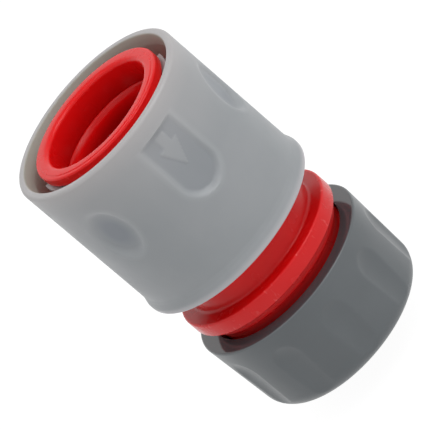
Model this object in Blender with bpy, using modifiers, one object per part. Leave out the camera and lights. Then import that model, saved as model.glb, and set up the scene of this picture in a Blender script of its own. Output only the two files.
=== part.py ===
"""Garden hose quick connector: a hose-end socket with a sprung locking collar and a clamping nut.

It stands on the nut's rear face with its mouth up. Metres, +Z along the axis, origin at the centre of that face.
"""
import math

import bmesh
import bpy
from mathutils import Matrix

MM = 0.001
CLEARANCE = 0.3 * MM            # between neighbouring pieces

# Lengths along the axis, in the order in which they stack up from the nut's rear face
NUT_LENGTH = 17.9 * MM
NUT_GAP = 1.5 * MM              # thread still to be screwed home, between the nut and the small disc
DISC_THICKNESS = 1.67 * MM
FLANGE_THICKNESS = 3.13 * MM
COLLAR_STROKE = 5.0 * MM        # how far the collar pulls back
COLLAR_STOP_GAP = 1.0 * MM      # left between collar and flange when it is pulled right back
SEAT_INSET = 3.1 * MM           # from the collar's rear end to the seat that the spring stands on
SPRING_LENGTH = 11.8 * MM       # with the collar forward
SHOULDER_THICKNESS = 1.2 * MM   # ring inside the collar, between the spring and the pawls
PAWL_HEEL = 3.8 * MM            # from the tooth's rear side to the pawl's rear end
TOOTH_THICKNESS = 2.1 * MM
TOOTH_DEPTH = 9.5 * MM          # from the mouth to the pawls' teeth

# Socket: the mouth fits the nipple, and the bores behind it step in from there
MOUTH_RADIUS = 11.4 * MM
LEDGE_DEPTH = 5.3 * MM
LEDGE_STEP = 0.5 * MM
THROAT_LEAD = 0.4 * MM          # length of the taper from the ledge to the throat
THROAT_STEP = 0.2 * MM
SEAL_LEAD = 1.6 * MM            # length of the taper from the throat to the seal bore
SEAL_STEP = 2.65 * MM
SEAL_LENGTH = 7.0 * MM
CUP_WALL = 1.85 * MM
CUP_CHAMFER = 0.9 * MM

# Front ring
RING_LINING_WALL = 0.9 * MM
RING_BEAD_STEP = 0.7 * MM       # how far the bead stands out over the tube behind it
RING_BEAD_THICKNESS = 2.0 * MM
RING_BEAD_ROUND = 0.5 * MM
RING_LIP_ROUND = 0.9 * MM

# Socket body, mouth side
TUBE_LIP = 1.0 * MM             # wall of the tube round the ring's lining
TUBE_WALL = 1.4 * MM
NECK_STEP = 0.45 * MM           # how much thicker the neck is than the tube
SEAT_GAP = 0.4 * MM             # between the spring's seat and the collar
SEAT_THICKNESS = 1.4 * MM

# Pawls
PAWL_COUNT = 5
PAWL_THICKNESS = 1.1 * MM
PAWL_TRAVEL = 1.2 * MM          # radial movement when the collar is pulled right back
PAWL_EAR_HEIGHT = 5.2 * MM
TOOTH_REACH = 2.4 * MM          # how far the teeth stand into the throat
TOOTH_LEAD = 1.4 * MM           # slope on the side that the nipple meets first
TOOTH_HALF_WIDTH = 14.0         # degrees
ARM_HALF_WIDTH = 21.0           # degrees
EAR_HALF_WIDTH = 26.0           # degrees
ARM_STEP = 0.08 * MM            # the arm is this much thinner than the ears on each side
PAWL_AZIMUTH = -90.0            # degrees from +X to the first pawl

# Locking collar
COLLAR_WALL = 2.0 * MM
COLLAR_FRONT_ROUND = 0.9 * MM
COLLAR_MOUTH_STEP = 0.55 * MM   # how much wider the collar is inside at its front edge
COLLAR_MOUTH_DEPTH = 2.3 * MM
BEAD_HEIGHT = 0.5 * MM          # how far the rear bead stands out
BEAD_LENGTH = 3.1 * MM
BEAD_ROUND = 0.8 * MM
BEAD_LEAN = 20.0                # degrees from the bead's edge to where its round begins
CATCH_THICKNESS = 1.2 * MM      # catches that hook over the pawls' ears
SCOOP_COUNT = 6
LONG_SCOOP_EVERY = 3            # the scoops between the long ones are ovals
SCOOP_HALF_WIDTH = 4.6 * MM
SCOOP_FRONT_INSET = 3.5 * MM
SCOOP_LENGTH = 14.9 * MM
OVAL_SETBACK = 2.7 * MM         # from a long scoop's front edge to an oval's, and both end level
SCOOP_FRONT_DEPTH = 0.65 * MM
SCOOP_REAR_DEPTH = 1.15 * MM
SCOOP_AZIMUTH = -77.2           # degrees from +X to the scoop that faces the viewer

# Collar spring
SPRING_WIRE = 1.2 * MM
SPRING_END_PITCH = 1.65 * MM
SPRING_STEPS = 18               # points on each turn

# Hose tail: the waterway fits the hose, and what holds the hose steps out from there
WATERWAY_RADIUS = 4.1 * MM
TAIL_WALL = 1.4 * MM
BARB_HEIGHT = 1.0 * MM
BARB_COUNT = 4
BARB_PITCH = 3.6 * MM
TAIL_INSET = 1.5 * MM           # from the nut's rear face to the end of the tail
TIP_STEP = 0.4 * MM
HOSE_ROOM = 3.2 * MM            # from the barbs to the hole that the hose goes in by

# Claw ring
CLAW_RING_THICKNESS = 1.0 * MM
CLAW_RING_EDGE = 0.8 * MM       # straight edge of the ring above the nut's cone
CLAW_COUNT = 8
CLAW_SLOT = 1.6 * MM
CLAW_REACH = 0.8 * MM           # how far the teeth stand inside the hose hole
CLAW_TOOTH_HEIGHT = 0.8 * MM
CLAW_TOOTH_ROWS = 2
CLAW_RING_STEP = 0.6 * MM       # how much wider the ring's bore is than the claws'
CLAW_WALL = 1.7 * MM            # at the root of the claws, where they bend

# Hose nut
NUT_WALL = 3.35 * MM            # outside the thread
NUT_TAPER = 0.8 * MM            # how much narrower the nut is at its rear
NUT_FRONT_ROUND = 0.4 * MM
NUT_REAR_ROUND = 3.5 * MM
NUT_CHAMFER = 0.3 * MM
THREAD_ROOM = 0.8 * MM          # between the stub's core and the nut's bore
NUT_FLOOR = 2.3 * MM
CONE_STEP = 1.9 * MM            # from the hose hole to the narrow end of the cone
CONE_RISE = 2.7 * MM
CONE_LENGTH = 5.3 * MM
BORE_STEP = 0.8 * MM            # from the wide end of the cone to the threaded bore
RECESS_COUNT = 10
RECESS_CURVE = 10.0 * MM        # radius of each hollow across the nut
RECESS_DEPTH = 0.8 * MM
RECESS_REAR_DEPTH = 0.3 * MM
RECESS_FRONT_INSET = 3.0 * MM
RECESS_AZIMUTH = -88.3          # degrees from +X to the first recess

# Socket body, hose side
STUB_WALL = 2.5 * MM
STUB_CHAMFER = 0.4 * MM
DISC_STEP = 1.2 * MM            # how far the small disc stands out over the stub
DISC_ROUND = 0.3 * MM
FLANGE_STEP = 1.5 * MM          # how far the flange stands out over the disc
FLANGE_ROUND = 0.45 * MM
RIB_COUNT = 6                   # ribs in the moulding's core that also stop the hose
RIB_THICKNESS = 1.3 * MM
RIB_ABOVE_FLANGE = 1.8 * MM

# Facets round the axis
BODY_STEPS = 48
COLLAR_STEPS = 48
NUT_STEPS = 50
CLAW_STEPS = 48

# Heights that follow from the sizes above
DISC_BOTTOM = NUT_LENGTH + NUT_GAP
FLANGE_BOTTOM = DISC_BOTTOM + DISC_THICKNESS
FLANGE_TOP = FLANGE_BOTTOM + FLANGE_THICKNESS
COLLAR_BOTTOM = FLANGE_TOP + COLLAR_STOP_GAP + COLLAR_STROKE
SEAT_TOP = COLLAR_BOTTOM + SEAT_INSET
SHOULDER_BOTTOM = SEAT_TOP + SPRING_LENGTH + 2 * CLEARANCE
SHOULDER_TOP = SHOULDER_BOTTOM + SHOULDER_THICKNESS
PAWL_BOTTOM = SHOULDER_TOP + CLEARANCE
EAR_TOP = PAWL_BOTTOM + PAWL_EAR_HEIGHT
TOOTH_BOTTOM = PAWL_BOTTOM + PAWL_HEEL
TOOTH_TOP = TOOTH_BOTTOM + TOOTH_THICKNESS
FRONT = TOOTH_TOP + TOOTH_DEPTH
LEDGE = FRONT - LEDGE_DEPTH
WINDOW_TOP = TOOTH_TOP + CLEARANCE
WINDOW_BOTTOM = TOOTH_BOTTOM - COLLAR_STROKE - CLEARANCE
THROAT_BOTTOM = WINDOW_BOTTOM - CLEARANCE
SEAL_TOP = THROAT_BOTTOM - SEAL_LEAD
CORE_TOP = SEAL_TOP - CUP_WALL / 2
CUP_FLOOR = SEAL_TOP - SEAL_LENGTH
CUP_BOTTOM = CUP_FLOOR - CUP_WALL
RING_BEAD_BOTTOM = FRONT - RING_BEAD_THICKNESS
TUBE_TOP = RING_BEAD_BOTTOM - CLEARANCE
RIB_BOTTOM = FLANGE_TOP + RIB_ABOVE_FLANGE
CONE_TOP = NUT_FLOOR + CONE_LENGTH
CLAW_TOP = CONE_TOP + CLAW_RING_EDGE
STUB_BOTTOM = CLAW_TOP + NUT_GAP

# Radii on the mouth side, from the mouth in and from the mouth out
LEDGE_RADIUS = MOUTH_RADIUS - LEDGE_STEP
THROAT_RADIUS = LEDGE_RADIUS - THROAT_STEP
SEAL_RADIUS = THROAT_RADIUS - SEAL_STEP
CUP_RADIUS = SEAL_RADIUS + CUP_WALL
PAWL_TIP_RADIUS = THROAT_RADIUS - TOOTH_REACH
LINING_RADIUS = MOUTH_RADIUS + RING_LINING_WALL
TUBE_RADIUS = LINING_RADIUS + CLEARANCE + TUBE_LIP
CORE_RADIUS = TUBE_RADIUS - TUBE_WALL
RING_BEAD_RADIUS = TUBE_RADIUS + RING_BEAD_STEP
NECK_RADIUS = TUBE_RADIUS + NECK_STEP
PAWL_INNER = TUBE_RADIUS + CLEARANCE
PAWL_OUTER = PAWL_INNER + PAWL_THICKNESS
SHOULDER_RADIUS = TUBE_RADIUS + 2 * CLEARANCE
COLLAR_INNER = PAWL_OUTER + PAWL_TRAVEL + CLEARANCE
COLLAR_RADIUS = COLLAR_INNER + COLLAR_WALL
SEAT_RADIUS = COLLAR_INNER - SEAT_GAP
SPRING_RADIUS = (TUBE_RADIUS + COLLAR_INNER) / 2

# Radii on the hose side, from the waterway out
TAIL_RADIUS = WATERWAY_RADIUS + TAIL_WALL
BARB_RADIUS = TAIL_RADIUS + BARB_HEIGHT
TIP_RADIUS = TAIL_RADIUS - TIP_STEP
HOSE_HOLE_RADIUS = BARB_RADIUS + HOSE_ROOM
CLAW_TOOTH_RADIUS = HOSE_HOLE_RADIUS - CLAW_REACH
CONE_REAR_RADIUS = HOSE_HOLE_RADIUS + CONE_STEP
CONE_FRONT_RADIUS = CONE_REAR_RADIUS + CONE_RISE
NUT_BORE = CONE_FRONT_RADIUS + BORE_STEP
NUT_FRONT_RADIUS = NUT_BORE + NUT_WALL
NUT_REAR_RADIUS = NUT_FRONT_RADIUS - NUT_TAPER
STUB_RADIUS = NUT_BORE - THREAD_ROOM
STUB_INNER = STUB_RADIUS - STUB_WALL
DISC_RADIUS = STUB_RADIUS + DISC_STEP
FLANGE_RADIUS = max(DISC_RADIUS, NECK_RADIUS) + FLANGE_STEP

# As many turns as still leave the spring free when the collar is pulled right back
SPRING_TURNS = int((SPRING_LENGTH - COLLAR_STROKE) / SPRING_WIRE) - 1


def clear_scene():
    for old in list(bpy.data.objects):
        bpy.data.objects.remove(old, do_unlink=True)


def new_collection(name):
    collection = bpy.data.collections.new(name)
    bpy.context.scene.collection.children.link(collection)
    return collection


def plastic(name, colour, roughness, metallic=0.0):
    """A Principled material; the colour is linear RGB."""
    material = bpy.data.materials.new(name)
    material.use_nodes = True
    shader = material.node_tree.nodes["Principled BSDF"]
    shader.inputs["Base Color"].default_value = (*colour, 1.0)
    shader.inputs["Roughness"].default_value = roughness
    shader.inputs["Metallic"].default_value = metallic
    material.diffuse_color = (*colour, 1.0)
    return material


def arc(centre, radius, start, end, steps):
    """Points on an arc in the (radius, height) plane, from one angle in degrees to the other."""
    points = []
    for i in range(steps + 1):
        angle = math.radians(start + (end - start) * i / steps)
        points.append((centre[0] + radius * math.cos(angle), centre[1] + radius * math.sin(angle)))
    return points


def box_profile(inner, outer, low, high):
    """The four corners of a rectangle in the (radius, height) plane."""
    return [(outer, high), (outer, low), (inner, low), (inner, high)]


def turned(name, profile, steps, collection):
    """A closed profile of (radius, height) points turned round Z. It runs down its outer side first."""
    mesh = bpy.data.meshes.new(name)
    points = [(radius, 0.0, height) for radius, height in profile]
    edges = [(i, (i + 1) % len(points)) for i in range(len(points))]
    mesh.from_pydata(points, edges, [])
    solid = bpy.data.objects.new(name, mesh)
    collection.objects.link(solid)
    screw = solid.modifiers.new("turn", "SCREW")
    screw.axis = "Z"
    screw.angle = math.tau
    screw.steps = steps
    screw.render_steps = steps
    screw.use_merge_vertices = True
    screw.merge_threshold = 0.00001
    return solid


def spun(name, profile, half_width, steps, collection):
    """A closed profile swung through an angle either side of +X, as a solid with flat ends."""
    shape = bmesh.new()
    corners = [shape.verts.new((radius, 0.0, height)) for radius, height in profile]
    face = shape.faces.new(corners)
    bmesh.ops.rotate(shape, verts=corners, matrix=Matrix.Rotation(-math.radians(half_width), 3, "Z"))
    bmesh.ops.spin(shape, geom=[face, *face.edges, *face.verts], axis=(0, 0, 1), cent=(0, 0, 0),
                   angle=2 * math.radians(half_width), steps=steps, use_duplicate=False)
    bmesh.ops.remove_doubles(shape, verts=shape.verts, dist=0.000001)
    bmesh.ops.recalc_face_normals(shape, faces=shape.faces)
    return finish_mesh(name, shape, collection)


def prism(name, outline, floor, top, collection):
    """A flat outline in the YZ plane, pushed out along +X from a sloping floor at x = floor(z) to a flat top."""
    shape = bmesh.new()
    face = shape.faces.new([shape.verts.new((floor(z), y, z)) for y, z in outline])
    pushed = bmesh.ops.extrude_face_region(shape, geom=[face])
    for vert in [item for item in pushed["geom"] if isinstance(item, bmesh.types.BMVert)]:
        vert.co.x = top
    bmesh.ops.recalc_face_normals(shape, faces=shape.faces)
    return finish_mesh(name, shape, collection)


def slab(name, outline, thickness, collection):
    """A flat outline in the XZ plane given a thickness along Y, half on each side."""
    shape = bmesh.new()
    face = shape.faces.new([shape.verts.new((x, -thickness / 2, z)) for x, z in outline])
    pushed = bmesh.ops.extrude_face_region(shape, geom=[face])
    for vert in [item for item in pushed["geom"] if isinstance(item, bmesh.types.BMVert)]:
        vert.co.y = thickness / 2
    bmesh.ops.recalc_face_normals(shape, faces=shape.faces)
    return finish_mesh(name, shape, collection)


def capsule(name, radius, length, collection):
    """A sphere whose lower half is drawn down along -Z by a length."""
    shape = bmesh.new()
    bmesh.ops.create_uvsphere(shape, u_segments=48, v_segments=24, radius=radius)
    for vert in shape.verts:
        if vert.co.z < -CLEARANCE:
            vert.co.z -= length
    return finish_mesh(name, shape, collection)


def finish_mesh(name, shape, collection):
    mesh = bpy.data.meshes.new(name)
    shape.to_mesh(mesh)
    shape.free()
    solid = bpy.data.objects.new(name, mesh)
    collection.objects.link(solid)
    return solid


def turn_about_axis(solid, degrees):
    solid.rotation_euler = (0.0, 0.0, math.radians(degrees))


def combine(solid, tool, operation):
    """Adds a Boolean with a tool object, which stays in the scene as a wire guide."""
    tool.display_type = "WIRE"
    tool.hide_render = True
    modifier = solid.modifiers.new(tool.name, "BOOLEAN")
    modifier.operation = operation
    modifier.solver = "EXACT"
    modifier.object = tool


def settle(solid, material, crease=35.0):
    """Turns an object's modifiers into its mesh, with its material and smooth shading between its corners."""
    bpy.context.view_layer.update()
    evaluated = solid.evaluated_get(bpy.context.evaluated_depsgraph_get())
    mesh = bpy.data.meshes.new_from_object(evaluated)
    solid.modifiers.clear()
    solid.data = mesh
    mesh.name = solid.name
    mesh.materials.clear()
    mesh.materials.append(material)
    mesh.shade_smooth()
    mesh.set_sharp_from_angle(angle=math.radians(crease))


def build_front_ring(pieces, material):
    """The ring that closes the front: the mouth, its lining down to the ledge and the bead round it."""
    bead = (RING_BEAD_RADIUS - RING_BEAD_ROUND, FRONT - RING_BEAD_ROUND)
    lip = (MOUTH_RADIUS + RING_LIP_ROUND, FRONT - RING_LIP_ROUND)
    profile = [
        *arc(bead, RING_BEAD_ROUND, 90, 0, 4),
        (RING_BEAD_RADIUS, RING_BEAD_BOTTOM + CLEARANCE),
        (RING_BEAD_RADIUS - CLEARANCE, RING_BEAD_BOTTOM),
        (LINING_RADIUS, RING_BEAD_BOTTOM),
        (LINING_RADIUS, LEDGE + CLEARANCE),
        (MOUTH_RADIUS, LEDGE + CLEARANCE),
        *arc(lip, RING_LIP_ROUND, 180, 90, 3),
    ]
    settle(turned("front_ring", profile, BODY_STEPS, pieces), material)


def barbs():
    """The hose tail's outer side, from root to tip. Each barb is steep on the side away from the tip."""
    points = []
    first = TAIL_INSET + BARB_COUNT * BARB_PITCH
    for i in range(BARB_COUNT):
        crest = first - i * BARB_PITCH
        points += [(TAIL_RADIUS, crest + CLEARANCE), (BARB_RADIUS, crest)]
    points.append((TIP_RADIUS, TAIL_INSET))
    return points


def build_socket_body(pieces, tools, material):
    """One moulding: socket tube, spring seat, neck, flange, small disc, threaded stub, hose tail and waterway."""
    flange_edge = FLANGE_RADIUS - FLANGE_ROUND
    disc_edge = DISC_RADIUS - DISC_ROUND
    profile = [
        (LINING_RADIUS + CLEARANCE, TUBE_TOP),
        (TUBE_RADIUS, TUBE_TOP),
        (TUBE_RADIUS, SEAT_TOP),
        (SEAT_RADIUS, SEAT_TOP),
        (SEAT_RADIUS, SEAT_TOP - SEAT_THICKNESS),
        (NECK_RADIUS, SEAT_TOP - SEAT_THICKNESS),
        (NECK_RADIUS, FLANGE_TOP),
        *arc((flange_edge, FLANGE_TOP - FLANGE_ROUND), FLANGE_ROUND, 90, 0, 3),
        *arc((flange_edge, FLANGE_BOTTOM + FLANGE_ROUND), FLANGE_ROUND, 0, -90, 3),
        (DISC_RADIUS, FLANGE_BOTTOM),
        *arc((disc_edge, DISC_BOTTOM + DISC_ROUND), DISC_ROUND, 0, -90, 2),
        (STUB_RADIUS, DISC_BOTTOM),
        (STUB_RADIUS, STUB_BOTTOM + STUB_CHAMFER),
        (STUB_RADIUS - STUB_CHAMFER, STUB_BOTTOM),
        (STUB_INNER, STUB_BOTTOM),
        (STUB_INNER, FLANGE_BOTTOM),
        (CORE_RADIUS, FLANGE_TOP),
        (CORE_RADIUS, CORE_TOP),
        (CUP_RADIUS, CORE_TOP),
        (CUP_RADIUS, CUP_BOTTOM + CUP_CHAMFER),
        (CUP_RADIUS - CUP_CHAMFER, CUP_BOTTOM),
        (TAIL_RADIUS, CUP_BOTTOM),
        *barbs(),
        (WATERWAY_RADIUS, TAIL_INSET),
        (WATERWAY_RADIUS, CUP_FLOOR),
        (SEAL_RADIUS, CUP_FLOOR),
        (SEAL_RADIUS, SEAL_TOP),
        (THROAT_RADIUS, THROAT_BOTTOM),
        (THROAT_RADIUS, LEDGE - THROAT_LEAD),
        (LEDGE_RADIUS, LEDGE),
        (LINING_RADIUS + CLEARANCE, LEDGE),
    ]
    body = turned("socket_body", profile, BODY_STEPS, pieces)

    rib_inner = (WATERWAY_RADIUS + TAIL_RADIUS) / 2
    rib_outer = CORE_RADIUS + TUBE_WALL / 2
    cup_middle = CUP_RADIUS - CUP_WALL / 2
    rib = [
        (rib_inner, RIB_BOTTOM),
        (rib_outer, RIB_BOTTOM),
        (rib_outer, CORE_TOP + CUP_WALL / 4),
        (cup_middle, CORE_TOP + CUP_WALL / 4),
        (cup_middle, CUP_BOTTOM + CUP_WALL / 4),
        (rib_inner, CUP_BOTTOM + CUP_WALL / 4),
    ]
    for i in range(RIB_COUNT):
        tool = slab(f"rib_{i + 1}", rib, RIB_THICKNESS, tools)
        turn_about_axis(tool, (i + 0.5) * 360 / RIB_COUNT)
        combine(body, tool, "UNION")

    window = box_profile(THROAT_RADIUS - MM, TUBE_RADIUS + MM, WINDOW_BOTTOM, WINDOW_TOP)
    half_width = TOOTH_HALF_WIDTH + math.degrees(CLEARANCE / THROAT_RADIUS)
    for i in range(PAWL_COUNT):
        tool = spun(f"window_{i + 1}", window, half_width, 4, tools)
        turn_about_axis(tool, PAWL_AZIMUTH + i * 360 / PAWL_COUNT)
        combine(body, tool, "DIFFERENCE")
    settle(body, material)


def build_locking_collar(pieces, tools, material):
    """The sleeve: the spring's shoulder and the pawls' catches inside it, grip scoops outside."""
    front_edge = COLLAR_RADIUS - COLLAR_FRONT_ROUND
    bead_radius = COLLAR_RADIUS + BEAD_HEIGHT
    bead_top = COLLAR_BOTTOM + BEAD_LENGTH
    profile = [
        (COLLAR_INNER + COLLAR_MOUTH_STEP, FRONT),
        *arc((front_edge, FRONT - COLLAR_FRONT_ROUND), COLLAR_FRONT_ROUND, 90, 0, 4),
        (COLLAR_RADIUS, bead_top),
        (COLLAR_RADIUS + BEAD_HEIGHT / 4, bead_top - BEAD_ROUND),
        *arc((bead_radius - BEAD_ROUND, COLLAR_BOTTOM + BEAD_ROUND), BEAD_ROUND, BEAD_LEAN, -90, 4),
        (COLLAR_INNER + BEAD_ROUND, COLLAR_BOTTOM),
        (COLLAR_INNER, COLLAR_BOTTOM + BEAD_ROUND),
        (COLLAR_INNER, SHOULDER_BOTTOM),
        (SHOULDER_RADIUS, SHOULDER_BOTTOM),
        (SHOULDER_RADIUS, SHOULDER_TOP),
        (COLLAR_INNER, SHOULDER_TOP),
        (COLLAR_INNER, FRONT - COLLAR_MOUTH_DEPTH),
    ]
    collar = turned("locking_collar", profile, COLLAR_STEPS, pieces)

    catch_low = EAR_TOP + CLEARANCE
    catch = box_profile(SHOULDER_RADIUS, COLLAR_INNER + COLLAR_WALL / 4, catch_low, catch_low + CATCH_THICKNESS)
    catch_half_width = 180 / PAWL_COUNT - ARM_HALF_WIDTH - math.degrees(CLEARANCE / PAWL_INNER)
    for i in range(PAWL_COUNT):
        tool = spun(f"catch_{i + 1}", catch, catch_half_width, 3, tools)
        turn_about_axis(tool, PAWL_AZIMUTH + (i + 0.5) * 360 / PAWL_COUNT)
        combine(collar, tool, "UNION")

    scoop_front = FRONT - SCOOP_FRONT_INSET
    scoop_rear = scoop_front - SCOOP_LENGTH
    long_outline = [
        (-SCOOP_HALF_WIDTH, scoop_front),
        *arc((0, scoop_rear + SCOOP_HALF_WIDTH), SCOOP_HALF_WIDTH, 180, 360, 10),
        (SCOOP_HALF_WIDTH, scoop_front),
    ]
    oval_half_length = (SCOOP_LENGTH - OVAL_SETBACK) / 2
    stretch = oval_half_length / SCOOP_HALF_WIDTH
    circle = arc((0, 0), SCOOP_HALF_WIDTH, 0, 360, 20)[:-1]
    oval_outline = [(y, scoop_rear + oval_half_length + z * stretch) for y, z in circle]

    def scoop_floor(z):
        share = (scoop_front - z) / SCOOP_LENGTH
        return COLLAR_RADIUS - SCOOP_FRONT_DEPTH - (SCOOP_REAR_DEPTH - SCOOP_FRONT_DEPTH) * share

    for i in range(SCOOP_COUNT):
        outline = oval_outline if i % LONG_SCOOP_EVERY else long_outline
        tool = prism(f"scoop_{i + 1}", outline, scoop_floor, COLLAR_RADIUS + MM, tools)
        turn_about_axis(tool, SCOOP_AZIMUTH + i * 360 / SCOOP_COUNT)
        combine(collar, tool, "DIFFERENCE")
    settle(collar, material)
    return collar


def build_pawls(pieces, tools, collar, material):
    """Curved jaws between tube and collar, each with a tooth through its window, an arm and two ears."""
    root = PAWL_INNER + (PAWL_OUTER - PAWL_INNER) / 2
    ears = box_profile(PAWL_INNER, PAWL_OUTER, PAWL_BOTTOM, EAR_TOP)
    arm = box_profile(PAWL_INNER + ARM_STEP, PAWL_OUTER - ARM_STEP, PAWL_BOTTOM + MM, TUBE_TOP)
    tooth = [
        (root, TOOTH_TOP),
        (root, TOOTH_BOTTOM),
        (PAWL_TIP_RADIUS, TOOTH_BOTTOM),
        (PAWL_TIP_RADIUS, TOOTH_TOP - TOOTH_LEAD),
        (PAWL_TIP_RADIUS + TOOTH_LEAD, TOOTH_TOP),
    ]
    pattern = spun("pawl_pattern", ears, EAR_HALF_WIDTH, 8, tools)
    combine(pattern, spun("pawl_arm", arm, ARM_HALF_WIDTH, 7, tools), "UNION")
    combine(pattern, spun("pawl_tooth", tooth, TOOTH_HALF_WIDTH, 5, tools), "UNION")
    settle(pattern, material)
    for i in range(PAWL_COUNT):
        pawl = bpy.data.objects.new(f"pawl_{i + 1}", pattern.data)
        pieces.objects.link(pawl)
        turn_about_axis(pawl, PAWL_AZIMUTH + i * 360 / PAWL_COUNT)
        pawl.parent = collar
    bpy.data.objects.remove(pattern)


def build_collar_spring(pieces, material):
    """A round-wire coil between the body's seat and the collar's shoulder, with closer turns at its ends."""
    low = SEAT_TOP + CLEARANCE + SPRING_WIRE / 2
    high = SHOULDER_BOTTOM - CLEARANCE - SPRING_WIRE / 2
    middle_pitch = (high - low - 2 * SPRING_END_PITCH) / (SPRING_TURNS - 2)
    count = SPRING_TURNS * SPRING_STEPS
    wire = bpy.data.curves.new("collar_spring", "CURVE")
    wire.dimensions = "3D"
    wire.bevel_depth = SPRING_WIRE / 2
    wire.bevel_resolution = 2
    wire.use_fill_caps = True
    spline = wire.splines.new("POLY")
    spline.points.add(count)
    for i, point in enumerate(spline.points):
        turn = i / SPRING_STEPS
        height = low + min(turn, 1) * SPRING_END_PITCH
        height += max(0, min(turn - 1, SPRING_TURNS - 2)) * middle_pitch
        height += max(0, turn - SPRING_TURNS + 1) * SPRING_END_PITCH
        angle = turn * math.tau
        point.co = (SPRING_RADIUS * math.cos(angle), SPRING_RADIUS * math.sin(angle), height, 1.0)
    wire.materials.append(material)
    spring = bpy.data.objects.new("collar_spring", wire)
    pieces.objects.link(spring)


def build_claw_ring(pieces, tools, material):
    """A slotted ring: its claws lie in the nut's cone, and their teeth face the hose tail."""
    slope = (CONE_FRONT_RADIUS - CONE_REAR_RADIUS) / CONE_LENGTH
    inset = CLEARANCE * math.hypot(1, slope)
    bottom = NUT_FLOOR + CLEARANCE
    ring_bottom = CLAW_TOP - CLAW_RING_THICKNESS
    root = CLAW_TOOTH_RADIUS + CLAW_TOOTH_HEIGHT

    def beside_cone(z):
        return CONE_REAR_RADIUS + slope * (z - NUT_FLOOR) - inset

    tooth_pitch = (ring_bottom - bottom) / CLAW_TOOTH_ROWS
    teeth = []
    for i in range(CLAW_TOOTH_ROWS):
        z = bottom + i * tooth_pitch
        teeth += [(root, z), (CLAW_TOOTH_RADIUS, z + 0.8 * tooth_pitch)]
    hip = (bottom + ring_bottom) / 2
    profile = [
        (root + CLAW_RING_STEP, CLAW_TOP),
        (beside_cone(CONE_TOP), CLAW_TOP),
        (beside_cone(CONE_TOP), CONE_TOP),
        (root + CLAW_WALL, ring_bottom),
        (beside_cone(hip), hip),
        (beside_cone(bottom), bottom),
        *teeth,
        (root, ring_bottom),
        (root + CLAW_RING_STEP, ring_bottom + CLAW_RING_STEP),
    ]
    ring = turned("claw_ring", profile, CLAW_STEPS, pieces)
    slot = [(0, 0), (NUT_BORE, 0), (NUT_BORE, ring_bottom), (0, ring_bottom)]
    for i in range(CLAW_COUNT):
        tool = slab(f"claw_slot_{i + 1}", slot, CLAW_SLOT, tools)
        turn_about_axis(tool, (i + 0.5) * 360 / CLAW_COUNT)
        combine(ring, tool, "DIFFERENCE")
    settle(ring, material)
    return ring


def build_hose_nut(pieces, tools, ring, material):
    """The clamping nut: a threaded bore, the cone for the claws behind it, and grip hollows outside."""
    front_edge = NUT_FRONT_RADIUS - NUT_FRONT_ROUND
    rear_edge = NUT_REAR_RADIUS - NUT_REAR_ROUND
    profile = [
        (NUT_BORE + NUT_CHAMFER, NUT_LENGTH),
        *arc((front_edge, NUT_LENGTH - NUT_FRONT_ROUND), NUT_FRONT_ROUND, 90, 0, 3),
        *arc((rear_edge, NUT_REAR_ROUND), NUT_REAR_ROUND, 0, -90, 6),
        (HOSE_HOLE_RADIUS + NUT_CHAMFER, 0),
        (HOSE_HOLE_RADIUS, NUT_CHAMFER),
        (HOSE_HOLE_RADIUS, NUT_FLOOR),
        (CONE_REAR_RADIUS, NUT_FLOOR),
        (CONE_FRONT_RADIUS, CONE_TOP),
        (NUT_BORE, CONE_TOP + BORE_STEP),
        (NUT_BORE, NUT_LENGTH - NUT_CHAMFER),
    ]
    nut = turned("hose_nut", profile, NUT_STEPS, pieces)

    lean = math.atan2(NUT_TAPER - RECESS_DEPTH + RECESS_REAR_DEPTH, NUT_LENGTH)
    round_end = math.sqrt(RECESS_CURVE ** 2 - (RECESS_CURVE - RECESS_DEPTH) ** 2)
    start = NUT_LENGTH - RECESS_FRONT_INSET - round_end
    distance = NUT_FRONT_RADIUS - RECESS_DEPTH + RECESS_CURVE
    for i in range(RECESS_COUNT):
        azimuth = math.radians(RECESS_AZIMUTH + i * 360 / RECESS_COUNT)
        tool = capsule(f"recess_{i + 1}", RECESS_CURVE, 2 * NUT_LENGTH, tools)
        tool.location = (distance * math.cos(azimuth), distance * math.sin(azimuth), start)
        tool.rotation_euler = (0.0, lean, azimuth)
        combine(nut, tool, "DIFFERENCE")
    settle(nut, material)
    nut.parent = ring


def main():
    clear_scene()
    pieces = new_collection("hose_quick_connector")
    tools = new_collection("cutters_and_additions")
    red = plastic("red_plastic", (0.62, 0.015, 0.015), 0.3)
    light_grey = plastic("light_grey_plastic", (0.29, 0.31, 0.32), 0.45)
    dark_grey = plastic("dark_grey_plastic", (0.12, 0.13, 0.14), 0.4)
    off_white = plastic("off_white_plastic", (0.7, 0.68, 0.62), 0.4)
    steel = plastic("spring_steel", (0.55, 0.55, 0.55), 0.25, 1.0)

    build_socket_body(pieces, tools, red)
    build_front_ring(pieces, red)
    collar = build_locking_collar(pieces, tools, light_grey)
    build_pawls(pieces, tools, collar, off_white)
    build_collar_spring(pieces, steel)
    ring = build_claw_ring(pieces, tools, off_white)
    build_hose_nut(pieces, tools, ring, dark_grey)


main()
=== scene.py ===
# %% [markdown]
# # A garden hose quick connector
# The fitting clicks a hose onto a tap nipple. A red socket takes the nipple, a light grey collar that is
# pulled back by hand lets it go, and a dark grey nut clamps the hose at the other end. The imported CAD
# model is loaded first and stays fixed. It says where each piece is and how it moves, and this script
# dresses it: finer meshes for the forms, materials for the mouldings, a camera, a floor and light.

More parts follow.
